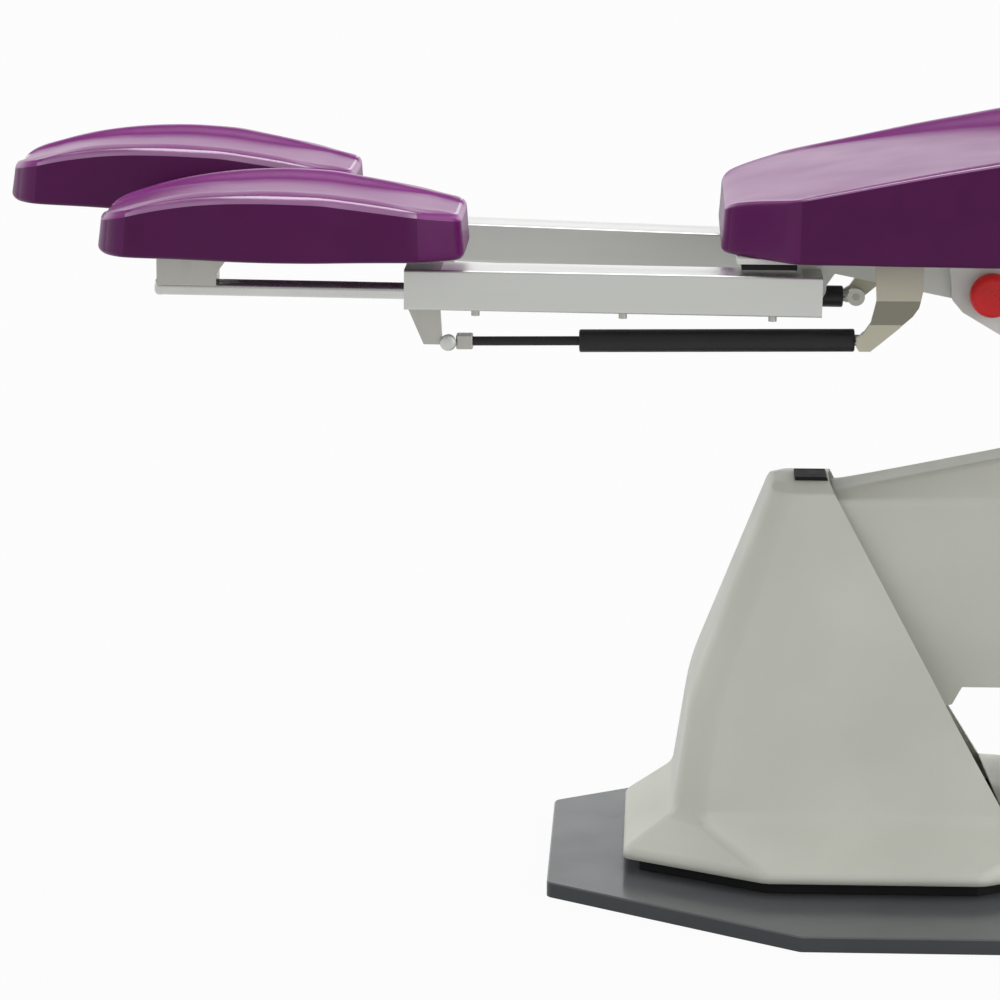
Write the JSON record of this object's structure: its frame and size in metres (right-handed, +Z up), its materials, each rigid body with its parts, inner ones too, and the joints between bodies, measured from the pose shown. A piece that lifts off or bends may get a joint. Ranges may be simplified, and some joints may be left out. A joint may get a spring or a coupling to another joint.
{
  "type": "podiatry chair",
  "caption": "Electric podiatry treatment chair on an octagonal base with a parallelogram lift, reclining back and split sliding leg rests carried on gas springs.",
  "frame": {"origin": "on the floor under the middle of the base plate", "axes": "+X towards the head end, -Y towards the pictured side, +Z up"},
  "size_m": [1.8268, 0.644, 1.5436],
  "materials": {
    "cover_paint": "satin warm grey paint with a fine texture",
    "plate_paint": "semi-gloss dark grey paint",
    "black_plastic": "matt black",
    "black_rubber": "matt black",
    "frame_paint": "satin warm grey paint",
    "zinc_steel": "zinc plated",
    "chrome": "polished",
    "aluminium": "satin anodised",
    "spring_black": "gloss black",
    "stop_red": "gloss red",
    "board": "raw plywood",
    "upholstery": "satin purple artificial leather"
  },
  "bodies": {
    "base": {"base_plate": "plate_paint", "frame_bolts": "zinc_steel", "plinth": "black_plastic", "tower_cover": "cover_paint", "tower_insert": "black_rubber", "rear_cover": "cover_paint", "mains_inlet": "black_plastic", "control_box": "black_plastic", "tower_frame": "frame_paint", "base_pins": "zinc_steel"},
    "lift_motor_body": {"lift_motor": "black_plastic"},
    "lift_arm": {"arm_frame": "frame_paint", "arm_pin": "zinc_steel", "arm_cover": "cover_paint"},
    "lift_rod_body": {"lift_rod": "zinc_steel"},
    "parallel_link": {"link_bars": "frame_paint"},
    "carriage": {"carriage_frame": "frame_paint", "carriage_pins": "zinc_steel", "carriage_cover": "cover_paint", "stop_collar": "black_plastic", "seat_frame": "frame_paint", "leg_shaft": "zinc_steel", "back_shaft": "zinc_steel", "leg_bumpers": "black_rubber", "spring_hooks": "zinc_steel", "seat_board": "board", "seat_cushion": "upholstery", "armrest_posts": "frame_paint"},
    "stop": {"stop_button": "stop_red"},
    "back": {"back_frame": "frame_paint", "back_board": "board", "back_cushion": "upholstery"},
    "back_motor_body": {"back_motor": "black_plastic"},
    "back_rod_body": {"back_rod": "zinc_steel"},
    "headrest": {"headrest_rods": "chrome", "headrest_cushion": "upholstery"},
    "armrest_near": {"armrest_beam_near": "frame_paint", "armrest_pad_near": "upholstery"},
    "leg_near": {"leg_tube_near": "aluminium", "leg_hinge_block_near": "aluminium", "leg_bracket_near": "aluminium", "leg_screws_near": "zinc_steel"},
    "extension_near": {"slide_bar_near": "chrome", "foot_bracket_near": "zinc_steel", "pad_board_near": "board", "leg_cushion_near": "upholstery"},
    "spring_cylinder_near": {"gas_cylinder_near": "spring_black"},
    "spring_rod_near": {"gas_rod_near": "spring_black"},
    "armrest_far": {"armrest_beam_far": "frame_paint", "armrest_pad_far": "upholstery"},
    "leg_far": {"leg_tube_far": "aluminium", "leg_hinge_block_far": "aluminium", "leg_bracket_far": "aluminium", "leg_screws_far": "zinc_steel"},
    "extension_far": {"slide_bar_far": "chrome", "foot_bracket_far": "zinc_steel", "pad_board_far": "board", "leg_cushion_far": "upholstery"},
    "spring_cylinder_far": {"gas_cylinder_far": "spring_black"},
    "spring_rod_far": {"gas_rod_far": "spring_black"}
  },
  "joints": [
    {"name": "lift", "type": "hinge", "parent": "base", "child": "lift_arm", "pos_m": [-0.15, 0, 0.385], "axis": [0, -1, 0], "range_deg": [-25, 8]},
    {"name": "link_swing", "type": "hinge", "parent": "base", "child": "parallel_link", "pos_m": [-0.09, 0, 0.25], "axis": [0, -1, 0], "range_deg": [-26, 9]},
    {"name": "carriage_level", "type": "hinge", "parent": "lift_arm", "child": "carriage", "pos_m": [0.273, 0, 0.463], "axis": [0, -1, 0], "range_deg": [-9, 26]},
    {"name": "lift_motor_tilt", "type": "hinge", "parent": "base", "child": "lift_motor_body", "pos_m": [-0.262, 0, 0.078], "axis": [0, -1, 0], "range_deg": [-13, 5]},
    {"name": "lift_rod_tilt", "type": "hinge", "parent": "lift_arm", "child": "lift_rod_body", "pos_m": [0.15, 0, 0.425], "axis": [0, -1, 0], "range_deg": [-5, 14.5]},
    {"name": "back_recline", "type": "hinge", "parent": "carriage", "child": "back", "pos_m": [0.33, 0, 0.69], "axis": [0, 1, 0], "range_deg": [0, 58]},
    {"name": "back_motor_tilt", "type": "hinge", "parent": "carriage", "child": "back_motor_body", "pos_m": [0.04, 0, 0.668], "axis": [0, 1, 0], "range_deg": [-8, 1]},
    {"name": "back_rod_slide", "type": "slide", "parent": "back_motor_body", "child": "back_rod_body", "axis": [0.98, 0, -0.1988], "range_m": [-0.08, 0.002]},
    {"name": "headrest_slide", "type": "slide", "parent": "back", "child": "headrest", "axis": [0.4695, 0, 0.8829], "range_m": [0, 0.09]},
    {"name": "stop_press", "type": "slide", "parent": "carriage", "child": "stop", "axis": [0, 1, 0], "range_m": [0, 0.005], "stiffness_N_per_m": 600},
    {"name": "armrest_lift_near", "type": "hinge", "parent": "carriage", "child": "armrest_near", "pos_m": [0.29, -0.272, 0.905], "axis": [0, 1, 0], "range_deg": [0, 90]},
    {"name": "leg_pitch_near", "type": "hinge", "parent": "carriage", "child": "leg_near", "pos_m": [-0.17, -0.139, 0.6755], "axis": [0, -1, 0], "range_deg": [-1.2, 50]},
    {"name": "leg_extend_near", "type": "slide", "parent": "leg_near", "child": "extension_near", "axis": [-0.9999, 0, 0.0122], "range_m": [-0.15, 0.14]},
    {"name": "spring_swing_near", "type": "hinge", "parent": "carriage", "child": "spring_cylinder_near", "pos_m": [-0.108, -0.139, 0.625], "axis": [0, -1, 0], "range_deg": [-3, 47]},
    {"name": "spring_stroke_near", "type": "slide", "parent": "spring_cylinder_near", "child": "spring_rod_near", "axis": [-1, 0, -0.01], "range_m": [-0.065, 0.005]},
    {"name": "armrest_lift_far", "type": "hinge", "parent": "carriage", "child": "armrest_far", "pos_m": [0.29, 0.272, 0.905], "axis": [0, 1, 0], "range_deg": [0, 90]},
    {"name": "leg_pitch_far", "type": "hinge", "parent": "carriage", "child": "leg_far", "pos_m": [-0.17, 0.139, 0.6755], "axis": [0, -1, 0], "range_deg": [0, 50]},
    {"name": "leg_extend_far", "type": "slide", "parent": "leg_far", "child": "extension_far", "axis": [-0.9995, 0, 0.0332], "range_m": [-0.2855, 0.0045]},
    {"name": "spring_swing_far", "type": "hinge", "parent": "carriage", "child": "spring_cylinder_far", "pos_m": [-0.108, 0.139, 0.625], "axis": [0, -1, 0], "range_deg": [-3, 47]},
    {"name": "spring_stroke_far", "type": "slide", "parent": "spring_cylinder_far", "child": "spring_rod_far", "axis": [-1, 0, 0.0081], "range_m": [-0.065, 0.005]}
  ],
  "couplings": [
    {"joint": "link_swing", "follows": "lift", "ratio": 1},
    {"joint": "carriage_level", "follows": "lift", "ratio": -1},
    {"joint": "lift_motor_tilt", "follows": "lift", "ratio": 0.4708},
    {"joint": "lift_rod_tilt", "follows": "lift", "ratio": -0.5292},
    {"joint": "back_motor_tilt", "follows": "back_recline", "ratio": -0.12148},
    {"joint": "back_rod_slide", "follows": "back_recline", "m_per_rad": -0.070266},
    {"joint": "spring_swing_near", "follows": "leg_pitch_near", "ratio": 0.91498},
    {"joint": "spring_stroke_near", "follows": "leg_pitch_near", "m_per_rad": -0.068815},
    {"joint": "spring_swing_far", "follows": "leg_pitch_far", "ratio": 0.91211},
    {"joint": "spring_stroke_far", "follows": "leg_pitch_far", "m_per_rad": -0.068116}
  ]
}
